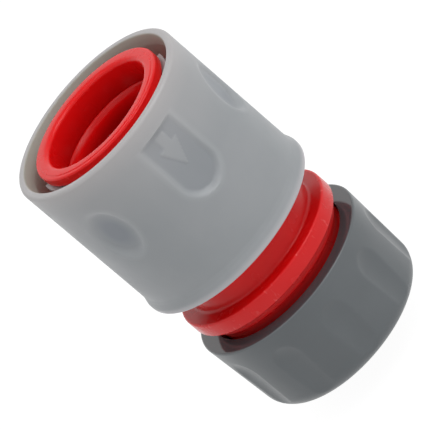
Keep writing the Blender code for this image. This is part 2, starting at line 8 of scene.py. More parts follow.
# %% Load the frame
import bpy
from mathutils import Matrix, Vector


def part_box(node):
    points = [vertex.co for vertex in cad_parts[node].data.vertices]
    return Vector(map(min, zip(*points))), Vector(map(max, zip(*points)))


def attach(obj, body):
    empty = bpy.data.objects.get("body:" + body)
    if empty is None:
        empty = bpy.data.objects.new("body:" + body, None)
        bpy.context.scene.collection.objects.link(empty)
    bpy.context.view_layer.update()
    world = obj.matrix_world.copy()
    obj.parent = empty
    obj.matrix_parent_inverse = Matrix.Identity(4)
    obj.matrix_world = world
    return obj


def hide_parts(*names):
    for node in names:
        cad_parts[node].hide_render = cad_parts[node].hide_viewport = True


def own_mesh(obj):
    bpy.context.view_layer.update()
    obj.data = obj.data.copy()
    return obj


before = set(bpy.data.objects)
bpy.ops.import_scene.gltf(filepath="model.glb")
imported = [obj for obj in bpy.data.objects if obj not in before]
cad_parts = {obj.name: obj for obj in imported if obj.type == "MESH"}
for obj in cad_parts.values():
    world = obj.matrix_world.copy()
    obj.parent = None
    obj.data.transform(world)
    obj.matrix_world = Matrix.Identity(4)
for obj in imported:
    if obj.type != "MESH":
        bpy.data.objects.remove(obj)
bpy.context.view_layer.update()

# %% Modules, units and the CAD boxes
import math

import bmesh
import bpy
from mathutils import Matrix, Vector

MM = 0.001
scene = bpy.context.scene


def add_object(name, data):
    """A new object with that data, in the scene."""
    added = bpy.data.objects.new(name, data)
    scene.collection.objects.link(added)
    return added


def box_mm(node):
    """Lowest height, highest height and outer radius of a CAD node, in millimetres."""
    low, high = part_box(node)
    return low.z / MM, high.z / MM, high.x / MM


for node in sorted(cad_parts):
    print(node, "from %.2f to %.2f mm high, out to %.2f mm" % box_mm(node))

# %% [markdown]
# ## Heights and radii
# All the pieces are turned about one axis, so one list of heights and one of radii describes them. They
# come from the CAD model's boxes where a box shows them. The others are its wall, step and gap sizes
# again, in millimetres.

# %% Heights in millimetres, from the nut's rear face
COLLAR_BOTTOM, FRONT, _ = box_mm("locking_collar")
TAIL_END, TUBE_TOP, FLANGE_RADIUS = box_mm("socket_body")
CLAW_BOTTOM, CLAW_TOP, _ = box_mm("claw_ring")
SPRING_BOTTOM, SPRING_TOP, _ = box_mm("collar_spring")
PAWL_BOTTOM = box_mm("pawl_1")[0]
NUT_LENGTH = box_mm("hose_nut")[1]
DISC_BOTTOM = NUT_LENGTH + 1.5
FLANGE_BOTTOM = DISC_BOTTOM + 1.67
FLANGE_TOP = FLANGE_BOTTOM + 3.13
STUB_BOTTOM = CLAW_TOP + 1.5
CLEARANCE = 0.3
LEDGE = box_mm("front_ring")[0] - CLEARANCE
TOOTH_BOTTOM = PAWL_BOTTOM + 3.8
TOOTH_TOP = TOOTH_BOTTOM + 2.1
STROKE = 5.0
print("flange from %.2f to %.2f mm, stub from %.2f mm" % (FLANGE_BOTTOM, FLANGE_TOP, STUB_BOTTOM))

# %% Radii in millimetres
MOUTH_RADIUS = 11.4
LINING_RADIUS = MOUTH_RADIUS + 0.9
TUBE_RADIUS = LINING_RADIUS + CLEARANCE + 1.0
RING_RADIUS = box_mm("front_ring")[2]
NECK_RADIUS = TUBE_RADIUS + 0.45
COLLAR_INNER = TUBE_RADIUS + 2.9
COLLAR_RADIUS = COLLAR_INNER + 2.0
STUB_RADIUS = 14.3
NUT_BORE = STUB_RADIUS + 0.8
NUT_FRONT_RADIUS = NUT_BORE + 3.35
NUT_REAR_RADIUS = NUT_FRONT_RADIUS - 0.8
TAIL_RADIUS = 5.5
WATERWAY_RADIUS = 4.1
HOSE_HOLE_RADIUS = 9.7
print("collar %.2f mm, nut %.2f mm, flange %.2f mm in radius"
      % (COLLAR_RADIUS, NUT_FRONT_RADIUS, FLANGE_RADIUS))

# %% [markdown]
# ## Camera
# The photograph looks down on the fitting from 23.5 degrees above, with a long lens, and is turned so
# that the mouth points up and to the left. The part stands upright here, so the camera is rolled instead.
# Its right and up directions are worked out from the roll, and it aims a little off the axis, so that the
# fitting lies in the frame as in the photograph.

# %% Place the camera
ELEVATION = math.radians(23.5)
ROLL = math.radians(49.4)
DISTANCE = 0.948
LENS = 460.5
PIXEL = 0.1724 * MM          # size of one photograph pixel at the axis
OFF_CENTRE = (0.63, 0.77)    # pixels from the aimed point to the picture's centre
AXIS_POINT = Vector((0, 0, 33.2 * MM))

back = Vector((0, -math.cos(ELEVATION), math.sin(ELEVATION)))
level_right = Vector((1, 0, 0))
level_up = Vector((0, math.sin(ELEVATION), math.cos(ELEVATION)))
image_right = level_right * math.cos(ROLL) - level_up * math.sin(ROLL)
image_up = level_right * math.sin(ROLL) + level_up * math.cos(ROLL)
aim = AXIS_POINT + (image_right * OFF_CENTRE[0] + image_up * OFF_CENTRE[1]) * PIXEL

camera_data = bpy.data.cameras.new("camera")
camera_data.lens = LENS
camera_data.sensor_width = 36
camera_data.clip_start = 0.01
camera_data.clip_end = 10
camera = add_object("camera", camera_data)
pose = Matrix((image_right, image_up, back)).transposed().to_4x4()
pose.translation = aim + back * DISTANCE
camera.matrix_world = pose
scene.camera = camera
print("camera at", [round(value, 3) for value in camera.location])

# %% [markdown]
# ## Colours and nodes
# Colours are written as the hex values that a paint program shows, and one function turns them to the
# linear values that Blender counts in. Another adds one shader node, sets its values and joins its
# inputs, so that each material below reads as a list of what is in it.


# %% Colour and node helpers
def linear(hex_colour):
    """An sRGB hex colour as linear red, green, blue and alpha."""
    channels = [int(hex_colour[i:i + 2], 16) / 255 for i in (1, 3, 5)]
    return (*[c / 12.92 if c <= 0.04045 else ((c + 0.055) / 1.055) ** 2.4 for c in channels], 1.0)


def add_node(tree, kind, settings=None, links=None):
    """Adds a node. Settings name its inputs or properties, and links name the socket each input takes."""
    node = tree.nodes.new(kind)
    for key, value in (settings or {}).items():
        if isinstance(key, str) and hasattr(node, key):
            setattr(node, key, value)
        else:
            node.inputs[key].default_value = value
    for key, socket in (links or {}).items():
        tree.links.new(socket, node.inputs[key])
    return node


def empty_tree(owner):
    """The node tree of a material or a world, with nothing in it."""
    owner.use_nodes = True
    owner.node_tree.nodes.clear()
    return owner.node_tree


def start_material(name, settings):
    """A node material with a Principled shader of those settings: (material, tree, shader)."""
    material = bpy.data.materials.new(name)
    tree = empty_tree(material)
    shader = add_node(tree, "ShaderNodeBsdfPrincipled", settings)
    add_node(tree, "ShaderNodeOutputMaterial", links={"Surface": shader.outputs["BSDF"]})
    return material, tree, shader


print("mid grey #808080 is", [round(value, 3) for value in linear("#808080")])

# %% [markdown]
# ## Light, world and floor
# The photograph is a white product shot: soft light from the picture's top, and no hard shadow. A large
# soft lamp gives the top light, a weaker one fills the other side, and the world gives the rest. The
# camera and mirror-like reflections see the world as pure white. The floor is a pale matt sheet, which
# the camera sees mixed with plain white, so that the shadow stays but is faint. It lies a little below
# the fitting, because the nut comes 6 mm further down as it is unscrewed. The Standard view shows each
# colour as it is, where the default view would make the whites grey.

# %% Plain view of the colours
scene.view_settings.view_transform = "Standard"
print("colours are shown as", scene.view_settings.view_transform)


# %% Lamps
def soft_lamp(name, direction, distance, size, strength):
    """A square lamp that faces the fitting. Strength is how bright it makes a white surface facing it."""
    data = bpy.data.lights.new(name, "AREA")
    data.shape = "SQUARE"
    data.size = size
    data.energy = strength * math.pi ** 2 * distance ** 2
    lamp = add_object(name, data)
    toward = direction.normalized()
    lamp.location = AXIS_POINT + toward * distance
    lamp.rotation_mode = "QUATERNION"
    lamp.rotation_quaternion = toward.to_track_quat("Z", "Y")
    return lamp


key_lamp = soft_lamp("key_lamp", image_up + back * 0.8, distance=0.7, size=0.5, strength=0.44)
fill_lamp = soft_lamp("fill_lamp", back - image_right * 0.9 + Vector((0, 0, 0.4)),
                      distance=0.8, size=0.7, strength=0.16)
print("key lamp %.1f W, fill lamp %.1f W" % (key_lamp.data.energy, fill_lamp.data.energy))

# %% World


def seen_directly(tree):
    """1 for camera, mirror and clear transmission rays, and 0 for the rays that light things."""
    rays = add_node(tree, "ShaderNodeLightPath")
    both = add_node(tree, "ShaderNodeMath", {"operation": "ADD"}, {
        0: rays.outputs["Is Camera Ray"], 1: rays.outputs["Is Glossy Ray"]})
    return add_node(tree, "ShaderNodeMath", {"operation": "ADD", "use_clamp": True}, {
        0: both.outputs[0], 1: rays.outputs["Is Transmission Ray"]}).outputs[0]


scene.world = bpy.data.worlds.new("white_studio")
sky = empty_tree(scene.world)
WORLD_LIGHT = 0.5
strength = add_node(sky, "ShaderNodeMapRange", {"To Min": WORLD_LIGHT, "To Max": 1.0}, {
    "Value": seen_directly(sky)})
background = add_node(sky, "ShaderNodeBackground", {"Color": linear("#FFFFFF")}, {
    "Strength": strength.outputs[0]})
add_node(sky, "ShaderNodeOutputWorld", links={"Surface": background.outputs[0]})
print("world lights at", WORLD_LIGHT, "and is seen at 1")

# %% Floor
FLOOR_HALF = 3.0
FLOOR_LEVEL = -6.3 * MM
WHITE_SHARE = 0.85
WHITE_LEVEL = 1.12
floor_paper = bpy.data.materials.new("matt_white_paper")
paper = empty_tree(floor_paper)
matt = add_node(paper, "ShaderNodeBsdfDiffuse", {"Color": linear("#F6F6F6")})
plain = add_node(paper, "ShaderNodeEmission", {"Color": linear("#FFFFFF"), "Strength": WHITE_LEVEL})
share = add_node(paper, "ShaderNodeMath", {"operation": "MULTIPLY", 1: WHITE_SHARE}, {
    0: seen_directly(paper)})
blend = add_node(paper, "ShaderNodeMixShader", links={
    0: share.outputs[0], 1: matt.outputs[0], 2: plain.outputs[0]})
add_node(paper, "ShaderNodeOutputMaterial", links={"Surface": blend.outputs[0]})

floor_mesh = bpy.data.meshes.new("studio_floor")
floor_corners = [(x * FLOOR_HALF, y * FLOOR_HALF, FLOOR_LEVEL)
                 for x, y in ((-1, -1), (1, -1), (1, 1), (-1, 1))]
floor_mesh.from_pydata(floor_corners, [], [(0, 1, 2, 3)])
floor_mesh.materials.append(floor_paper)
floor = add_object("studio_floor", floor_mesh)
print("floor", 2 * FLOOR_HALF, "m square,", FLOOR_LEVEL / MM, "mm high")

# %% [markdown]
# ## Materials
# Everything but the spring is injection-moulded plastic. Such a surface is never one flat colour: the
# melt leaves faint cloudy flow marks, the steel mould leaves a fine texture and slight waves in the
# gloss, and handling leaves a little dullness. One function builds that finish, and each material says
# how strong each effect is. Pattern sizes are given in millimetres, as they would be on the real part.


# %% Finish of a moulding
def per_mm(size):
    """Noise scale for features of that size in millimetres, in object coordinates in metres."""
    return 1000.0 / size


def moulded(name, colour, cloud_colour, roughness, cloud=14.0, wave=5.0, grain=0.5, relief=0.004, ior=1.5,
            shine=0.5, subsurface=0.0, spread=(0.7, 0.7, 0.7)):
    """A moulded plastic. Cloud, wave and grain are feature sizes in mm, and relief is the grain's height.

    Shine says how strongly the surface mirrors, and 0.5 is the plain value for its IOR. Subsurface is the
    share of light that goes in and comes out again, and spread says how far in mm, for red, green and blue.
    """
    material, tree, shader = start_material(name, {
        "IOR": ior, "Specular IOR Level": shine, "Subsurface Weight": subsurface,
        "Subsurface Radius": spread, "Subsurface Scale": MM})
    place = add_node(tree, "ShaderNodeTexCoord").outputs["Object"]
    noises = ((cloud, 3.0, 0.55), (wave, 2.0, 0.5), (grain, 2.0, 0.6))
    clouds, waves, grains = [
        add_node(tree, "ShaderNodeTexNoise", {"Scale": per_mm(size), "Detail": detail, "Roughness": rough},
                 {"Vector": place}).outputs["Fac"] for size, detail, rough in noises]
    amount = add_node(tree, "ShaderNodeMapRange", {"From Min": 0.35, "From Max": 0.65}, {"Value": clouds})
    tint = add_node(tree, "ShaderNodeMix", {
        "data_type": "RGBA", 6: linear(colour), 7: linear(cloud_colour)}, {0: amount.outputs[0]})
    tree.links.new(tint.outputs[2], shader.inputs["Base Color"])
    dull = add_node(tree, "ShaderNodeMapRange", {
        "From Min": 0.3, "From Max": 0.7, "To Min": roughness - 0.04, "To Max": roughness + 0.05}, {
        "Value": waves})
    tree.links.new(dull.outputs[0], shader.inputs["Roughness"])
    sag = add_node(tree, "ShaderNodeBump", {"Strength": 0.5, "Distance": 0.01 * MM}, {"Height": waves})
    skin = add_node(tree, "ShaderNodeBump", {"Strength": 0.5, "Distance": relief * MM}, {
        "Height": grains, "Normal": sag.outputs[0]})
    tree.links.new(skin.outputs[0], shader.inputs["Normal"])
    return material, tree, shader, tint


def place_on_part(tree):
    """Sockets that say where a point is: its place, its x, y and z, and its distance from the axis."""
    place = add_node(tree, "ShaderNodeTexCoord").outputs["Object"]
    parts = add_node(tree, "ShaderNodeSeparateXYZ", links={"Vector": place}).outputs
    flat = add_node(tree, "ShaderNodeVectorMath", {"operation": "MULTIPLY", 1: (1, 1, 0)}, {0: place})
    radius = add_node(tree, "ShaderNodeVectorMath", {"operation": "LENGTH"}, {0: flat.outputs[0]})
    return place, parts, radius.outputs["Value"]


print("a pattern of 1 mm has a noise scale of", per_mm(1))

# %% [markdown]
# ** Red body.** ABS moulded in a polished steel mould: a deep red with soft highlights that have faint
# waves in them. It is slightly see-through, so light that goes in near an edge comes out beside it. The
# colour also follows the place, with painted light and shade on the ring, the bore, the neck and the stub.
# The grain is drawn at 0.6 mm, far coarser than the mould's real texture, because a finer one couldn't be
# seen. A point's height and its distance from the axis say where on the moulding it is.

# %% Red ABS
red_abs, red_tree, red_shader, red_tint = moulded(
    "red_abs_polished_mould", "#D4080A", "#DC1012", roughness=0.24, cloud=11, wave=4, grain=0.6,
    relief=0.003, shine=0.22, subsurface=0.4, spread=(1.4, 0.2, 0.15))
red_place, red_parts, red_radius = place_on_part(red_tree)
red_height = red_parts["Z"]
print("made", red_abs.name)

# %% [markdown]
# The ring round the mouth is bright, and its thin side is painted brighter still, as painted light that
# comes through the collar. The bore is painted darker with depth, as painted shade, with a painted
# highlight where the throat's edge catches the light. A colour ramp holds the bore's painted shades by
# depth.

# %% Painted shade of the bore and painted light on the ring
BORE_SEEN = 12.0
BORE_PAINTED_SHADES = {0.0: "#EC1214", 2.0: "#E41012", 5.0: "#C0080A", 5.4: "#C80A0C", 6.6: "#E40C0E",
               8.4: "#B00608", BORE_SEEN: "#940406"}
# Painted shade: darker deeper in the bore, with a painted highlight on the throat's edge.
bore_painted_shade = add_node(red_tree, "ShaderNodeValToRGB", links={0: add_node(red_tree, "ShaderNodeMapRange", {
    "From Min": FRONT * MM, "From Max": (FRONT - BORE_SEEN) * MM}, {"Value": red_height}).outputs[0]})
bore_shade_stops = bore_painted_shade.color_ramp.elements
bore_shade_stops.remove(bore_shade_stops[1])
for depth, shade in BORE_PAINTED_SHADES.items():
    stop = bore_shade_stops.new(depth / BORE_SEEN) if depth else bore_shade_stops[0]
    stop.color = linear(shade)
in_bore = add_node(red_tree, "ShaderNodeMapRange", {
    "From Min": (MOUTH_RADIUS + 0.7) * MM, "From Max": (MOUTH_RADIUS + 0.1) * MM}, {"Value": red_radius})
down_its_side = add_node(red_tree, "ShaderNodeMapRange", {
    "From Min": (FRONT - 0.3) * MM, "From Max": (FRONT - 1.6) * MM}, {"Value": red_height})
# Painted light: the ring's thin side is painted brighter, for light that comes through the collar.
ring_painted_light = add_node(red_tree, "ShaderNodeMix", {
    "data_type": "RGBA", 6: linear("#E41214"), 7: linear("#FF2422")}, {0: down_its_side.outputs[0]})
on_ring = add_node(red_tree, "ShaderNodeMapRange", {
    "From Min": (FRONT - 4.0) * MM, "From Max": (FRONT - 3.5) * MM}, {"Value": red_height})
print("the bore has", len(bore_shade_stops), "shades down to", BORE_SEEN, "mm")

# %% [markdown]
# The neck is painted lighter towards the collar and darker towards the flange, and a little darker at
# its two sides: painted light and shade. A painted shadow darkens the stub where it goes into the nut.

# %% Painted light and shade of the neck and the stub
# The sides of the neck are painted darker, a painted shade, between these distances.
SIDE_START = 6.0     # mm from the middle plane, where the sides start to get deeper
SIDE_END = 13.0
PAINTED_SHADOW_REACH = 0.9
# The neck is painted lighter towards the collar and darker towards the flange: painted light and shade.
neck_painted_light = add_node(red_tree, "ShaderNodeMapRange", {
    "From Min": FLANGE_TOP * MM, "From Max": COLLAR_BOTTOM * MM, "To Min": 0.95, "To Max": 1.2}, {
    "Value": red_height})
sideways = add_node(red_tree, "ShaderNodeMath", {"operation": "ABSOLUTE"}, {0: red_parts["X"]})
sides_painted_shade = add_node(red_tree, "ShaderNodeMapRange", {
    "From Min": SIDE_START * MM, "From Max": SIDE_END * MM, "To Min": 1.0, "To Max": 0.84}, {
    "Value": sideways.outputs[0]})
painted_brightness = add_node(red_tree, "ShaderNodeMath", {"operation": "MULTIPLY"}, {
    0: neck_painted_light.outputs[0], 1: sides_painted_shade.outputs[0]})
body_painted_tint = add_node(red_tree, "ShaderNodeHueSaturation", links={
    "Value": painted_brightness.outputs[0], "Color": red_tint.outputs[2]})
# A painted shadow darkens the stub where it goes into the nut.
above_nut = add_node(red_tree, "ShaderNodeMath", {"operation": "SUBTRACT", 1: NUT_LENGTH * MM}, {
    0: red_height})
from_nut = add_node(red_tree, "ShaderNodeMath", {"operation": "ABSOLUTE"}, {0: above_nut.outputs[0]})
stub_painted_shadow = add_node(red_tree, "ShaderNodeMapRange", {
    "From Max": PAINTED_SHADOW_REACH * MM, "To Min": 0.45, "To Max": 0.0}, {"Value": from_nut.outputs[0]})
red_with_painted_shadow = add_node(red_tree, "ShaderNodeMix", {"data_type": "RGBA", 7: linear("#46302E")}, {
    0: stub_painted_shadow.outputs[0], 6: body_painted_tint.outputs[0]})
outer_red = add_node(red_tree, "ShaderNodeMix", {"data_type": "RGBA"}, {
    0: on_ring.outputs[0], 6: red_with_painted_shadow.outputs[2], 7: ring_painted_light.outputs[2]})
print("dirt reaches", PAINTED_SHADOW_REACH, "mm from the nut's front face")

# %% [markdown]
# The flange stands out furthest, so handling has scuffed it. A stretched noise, cut off near its top,
# leaves only short pale strokes of it. Under the scuffs the flange is a paler red, a painted sheen.

# %% Scuffs and painted sheen on the flange
strokes = add_node(red_tree, "ShaderNodeMapping", {
    "Rotation": (0.5, 0.4, 0.0), "Scale": (1.0, 1.0, 0.3)}, {"Vector": red_place})
marks = add_node(red_tree, "ShaderNodeTexNoise", {"Scale": per_mm(0.9), "Detail": 3.0, "Roughness": 0.6}, {
    "Vector": strokes.outputs[0]})
scuffs = add_node(red_tree, "ShaderNodeMapRange", {"From Min": 0.62, "From Max": 0.74, "To Max": 0.4}, {
    "Value": marks.outputs["Fac"]})
# The paler red of the flange is a painted sheen, and the pale strokes are scuffs.
flange_sheen_and_scuffs = add_node(red_tree, "ShaderNodeMix", {
    "data_type": "RGBA", 6: linear("#D82022"), 7: linear("#F0908C")}, {0: scuffs.outputs[0]})
on_flange = add_node(red_tree, "ShaderNodeMapRange", {
    "From Min": (FLANGE_RADIUS - 0.5) * MM, "From Max": (FLANGE_RADIUS - 0.15) * MM}, {"Value": red_radius})
sheen_and_scuffed_red = add_node(red_tree, "ShaderNodeMix", {"data_type": "RGBA"}, {
    0: on_flange.outputs[0], 6: outer_red.outputs[2], 7: flange_sheen_and_scuffs.outputs[2]})
red_mix = add_node(red_tree, "ShaderNodeMix", {"data_type": "RGBA"}, {
    0: in_bore.outputs[0], 6: sheen_and_scuffed_red.outputs[2], 7: bore_painted_shade.outputs[0]})
red_tree.links.new(red_mix.outputs[2], red_shader.inputs["Base Color"])
print(red_abs.name, "has", len(red_tree.nodes), "nodes")

# %% [markdown]
# ** Dark grey nut.** ABS from a finely spark-eroded mould: a satin grey that spreads highlights wide, so
# the grip recesses show as soft bands of light and dark. Its front face is polished, so it mirrors the
# red body above it, and it is painted darker, a painted shade from the flange and collar above it.

# %% Dark grey ABS
dark_grey_abs, grey_tree, grey_shader, grey_tint = moulded(
    "dark_grey_abs_satin_mould", "#5B6063", "#606568", roughness=0.36, cloud=16, wave=6, grain=0.7,
    relief=0.005)
grey_height = add_node(grey_tree, "ShaderNodeSeparateXYZ", links={
    "Vector": add_node(grey_tree, "ShaderNodeTexCoord").outputs["Object"]}).outputs["Z"]
front_face = add_node(grey_tree, "ShaderNodeMapRange", {
    "From Min": (NUT_LENGTH - 0.12) * MM, "From Max": (NUT_LENGTH - 0.04) * MM}, {"Value": grey_height})
# The nut's front face is painted darker: painted shade under the flange.
nut_face_painted_shade = add_node(grey_tree, "ShaderNodeMix", {"data_type": "RGBA", 7: linear("#484A4D")}, {
    0: front_face.outputs[0], 6: grey_tint.outputs[2]})
grey_tree.links.new(nut_face_painted_shade.outputs[2], grey_shader.inputs["Base Color"])
POLISHED = 0.1
satin = grey_shader.inputs["Roughness"].links[0].from_socket
finish = add_node(grey_tree, "ShaderNodeMix", {3: POLISHED}, {0: front_face.outputs[0], 2: satin})
grey_tree.links.new(finish.outputs[0], grey_shader.inputs["Roughness"])
print("made", dark_grey_abs.name)

# %% [markdown]
# ** Light grey collar.** Polypropylene, which is slightly waxy and lets some light through. Near the mouth
# nothing dark lies behind the 2 mm wall, so that end looks lighter. That light is painted into the
# colour by height: lighter and warmer towards the mouth, and a painted highlight at the rear edge.

# %% Light grey polypropylene
light_grey_pp, pp_tree, pp_shader, pp_tint = moulded(
    "light_grey_polypropylene_waxy", "#969A9D", "#9B9EA1", roughness=0.42, cloud=13, wave=6, grain=0.6,
    relief=0.004, subsurface=0.25)
_, pp_parts, pp_radius = place_on_part(pp_tree)
to_front = add_node(pp_tree, "ShaderNodeMapRange", {
    "From Min": COLLAR_BOTTOM * MM, "From Max": FRONT * MM}, {"Value": pp_parts["Z"]})
# Painted light by height: a painted highlight at the rear edge, none in the middle, lighter at the mouth.
PAINTED_GLOW_LEVELS = {0.0: 0.7, 0.022: 0.5, 0.045: 0.0, 0.55: 0.0, 0.86: 0.18, 1.0: 0.45}
painted_glow = add_node(pp_tree, "ShaderNodeValToRGB", links={0: to_front.outputs[0]})
painted_glow_stops = painted_glow.color_ramp.elements
painted_glow_stops.remove(painted_glow_stops[1])
for position, level in PAINTED_GLOW_LEVELS.items():
    stop = painted_glow_stops.new(position) if position else painted_glow_stops[0]
    stop.color = (level, level, level, 1.0)
painted_glow_tint = add_node(pp_tree, "ShaderNodeMix", {
    "data_type": "RGBA", 6: linear("#CCC8CC"), 7: linear("#CEC6C4")}, {0: to_front.outputs[0]})
lit = add_node(pp_tree, "ShaderNodeMix", {"data_type": "RGBA"}, {
    0: painted_glow.outputs[0], 6: pp_tint.outputs[2], 7: painted_glow_tint.outputs[2]})
print("made", light_grey_pp.name)

# %% [markdown]
# In the scoops the wall is thinner and the dark parts behind it show through, so a painted shade follows
# the number of millimetres inside a scoop, which the mesh carries as an attribute, and a painted highlight
# lines each scoop's rim. The inner wall is painted lighter and creamier, more so deeper in, as painted
# light that comes through the plastic.

# %% Painted shade of the scoops and painted light of the inner wall
in_scoop = add_node(pp_tree, "ShaderNodeAttribute", {"attribute_name": "mm_inside_scoop"}).outputs["Fac"]
# A painted highlight lines each scoop's rim.
rim = add_node(pp_tree, "ShaderNodeMapRange", {"From Min": 1.0, "From Max": 0.0, "To Max": 0.1}, {
    "Value": add_node(pp_tree, "ShaderNodeMath", {"operation": "ABSOLUTE"}, {0: in_scoop}).outputs[0]})
painted_rim_highlight = add_node(pp_tree, "ShaderNodeMix", {"data_type": "RGBA", 7: linear("#D6DADC")}, {
    0: rim.outputs[0], 6: lit.outputs[2]})
# Painted shade on the scoop floors.
painted_shade_share = add_node(pp_tree, "ShaderNodeMapRange", {"From Min": 0.2, "From Max": 2.6, "To Max": 0.5}, {
    "Value": in_scoop})
darker = add_node(pp_tree, "ShaderNodeMix", {"data_type": "RGBA", 7: linear("#6F7782")}, {
    0: painted_shade_share.outputs[0], 6: painted_rim_highlight.outputs[2]})
inner_side = add_node(pp_tree, "ShaderNodeMapRange", {
    "From Min": (COLLAR_INNER + 0.7) * MM, "From Max": (COLLAR_INNER + 0.55) * MM}, {"Value": pp_radius})
deep = add_node(pp_tree, "ShaderNodeMapRange", {
    "From Min": (FRONT - 1.5) * MM, "From Max": (FRONT - 7.0) * MM}, {"Value": pp_parts["Z"]})
# Painted light: the inner wall is painted lighter deeper in, for light that comes through the plastic.
inner_wall_painted_light = add_node(pp_tree, "ShaderNodeMix", {
    "data_type": "RGBA", 6: linear("#A6A79D"), 7: linear("#E4E6DA")}, {0: deep.outputs[0]})
inner_wall = add_node(pp_tree, "ShaderNodeMix", {"data_type": "RGBA"}, {
    0: inner_side.outputs[0], 6: darker.outputs[2], 7: inner_wall_painted_light.outputs[2]})
pp_tree.links.new(inner_wall.outputs[2], pp_shader.inputs["Base Color"])
print(light_grey_pp.name, "has", len(pp_tree.nodes), "nodes")

# %% [markdown]
# ** Pawls and claws.** Acetal, the hard slippery plastic of small sliding parts: almost white, with a soft
# sheen, and slightly see-through at thin edges. The pawls get a darker copy of it, a painted shade, as
# they sit deep beside the ring, out of the light.

# %% Acetal
acetal = {"cloud": 5, "wave": 3, "grain": 0.4, "relief": 0.002, "ior": 1.48, "subsurface": 0.15}
off_white_acetal = moulded("off_white_acetal_moulded", "#CFC8C2", "#D9D3CE", roughness=0.33, **acetal)[0]
# The pawls' darker acetal is a painted shade.
pawl_acetal_painted_shade = moulded("acetal_darkened_as_painted_shade", "#9A8E8D", "#A3989A", roughness=0.36, **acetal)[0]
print("made", off_white_acetal.name, "and", pawl_acetal_painted_shade.name)

# %% [markdown]
# **Spring steel.** Stainless wire drawn through a die, which leaves fine lines along it and a bright grey
# gloss. Drawing lines are finer than a hundredth of a millimetre. They are drawn here at 0.15 mm, as thin
# bands round the coil's height, so that they show at all.

# %% Drawn steel wire
drawn_steel, steel_tree, steel_shader = start_material("stainless_spring_wire_drawn", {"Metallic": 1.0})
lines = add_node(steel_tree, "ShaderNodeTexNoise", {"Scale": 1.0, "Detail": 2.0}, {"Vector": add_node(
    steel_tree, "ShaderNodeMapping", {"Scale": (per_mm(6), per_mm(6), per_mm(0.15))},
    {"Vector": add_node(steel_tree, "ShaderNodeTexCoord").outputs["Object"]}).outputs[0]})
steel_tint = add_node(steel_tree, "ShaderNodeMix", {
    "data_type": "RGBA", 6: linear("#B4B4B2"), 7: linear("#D2D2D0")}, {0: lines.outputs["Fac"]})
steel_tree.links.new(steel_tint.outputs[2], steel_shader.inputs["Base Color"])
steel_dull = add_node(steel_tree, "ShaderNodeMapRange", {"To Min": 0.18, "To Max": 0.34}, {
    "Value": lines.outputs["Fac"]})
steel_tree.links.new(steel_dull.outputs[0], steel_shader.inputs["Roughness"])
steel_bump = add_node(steel_tree, "ShaderNodeBump", {"Strength": 0.4, "Distance": 0.004 * MM}, {
    "Height": lines.outputs["Fac"]})
steel_tree.links.new(steel_bump.outputs[0], steel_shader.inputs["Normal"])
print("made", drawn_steel.name)

# %% [markdown]
# ## Turned forms
# A moulding of this kind is a section swept round an axis, with a small round on every edge, because a
# sharp edge would chip and couldn't be moulded well. So a section is written as corners with a round
# each. One function rounds them, one adds points where there will be relief, and one turns the section.
# The turn can also move each point in or out, which gives the grip hollows and the threads without a cut.


# %% Sections
def rounded(corners, steps=5):
    """A closed section from (radius, height, round) corners, in mm. Each round becomes a row of points.

    A round takes less than half of each stretch beside it, so that two rounds never meet.
    """
    points = []
    for i, (x, y, size) in enumerate(corners):
        here = Vector((x, y))
        before = Vector(corners[i - 1][:2]) - here
        after = Vector(corners[(i + 1) % len(corners)][:2]) - here
        half = before.angle(after) / 2
        nearly_straight = half > math.radians(88)
        if size <= 0 or nearly_straight:
            points.append((x, y))
            continue
        reach = min(size / math.tan(half), 0.48 * before.length, 0.48 * after.length)
        size = reach * math.tan(half)
        start = here + before.normalized() * reach
        end = here + after.normalized() * reach
        centre = here + (before.normalized() + after.normalized()).normalized() * math.hypot(reach, size)
        first = start - centre
        turn = first.angle_signed(end - centre)
        for step in range(steps + 1):
            spoke = first.copy()
            spoke.rotate(Matrix.Rotation(-turn * step / steps, 2))
            points.append(tuple(centre + spoke))
    return points


def closer(points, low, high, gap, side=0.0):
    """Adds points along upright stretches between two heights whose radius is over side."""
    result = []
    for i, (x, y) in enumerate(points):
        nx, ny = points[(i + 1) % len(points)]
        result.append((x, y))
        inside = min(y, ny) > low - 0.01 and max(y, ny) < high + 0.01 and min(x, nx) > side
        if inside and abs(ny - y) > gap and abs(ny - y) > 2 * abs(nx - x):
            count = int(abs(ny - y) / gap)
            result += [(x + (nx - x) * k / count, y + (ny - y) * k / count) for k in range(1, count)]
    return result


def smooth_step(value, low, high):
    """0 below low, 1 above high and a soft rise between."""
    share = min(1.0, max(0.0, (value - low) / (high - low)))
    return share * share * (3 - 2 * share)


rounded_square = rounded([(0, 0, 1), (4, 0, 1), (4, 4, 1), (0, 4, 1)])
print("a square with rounded corners has", len(rounded_square), "points")

# %% [markdown]
# A turned section is a closed mesh. Each piece then gets its material and the body it rides on, and the
# CAD nodes that it stands for are hidden.

# %% Turned pieces
CREASE = 32


def turned(name, section, steps, relief=None):
    """A closed section in mm turned about the axis. relief(radius, height, angle) gives a new radius."""
    vertices = []
    for j in range(steps):
        angle = math.tau * j / steps
        cosine = math.cos(angle) * MM
        sine = math.sin(angle) * MM
        for radius, z in section:
            r = relief(radius, z, angle) if relief else radius
            vertices.append((r * cosine, r * sine, z * MM))
    count = len(section)
    faces = []
    for j in range(steps):
        a = j * count
        b = ((j + 1) % steps) * count
        for i in range(count):
            k = (i + 1) % count
            faces.append((a + i, b + i, b + k, a + k))
    mesh = bpy.data.meshes.new(name)
    mesh.from_pydata(vertices, [], faces)
    return add_piece(name, mesh)


def add_piece(name, mesh):
    """Puts a mesh in the scene with its faces turned outwards."""
    shape = bmesh.new()
    shape.from_mesh(mesh)
    bmesh.ops.recalc_face_normals(shape, faces=shape.faces)
    shape.to_mesh(mesh)
    shape.free()
    return add_object(name, mesh)


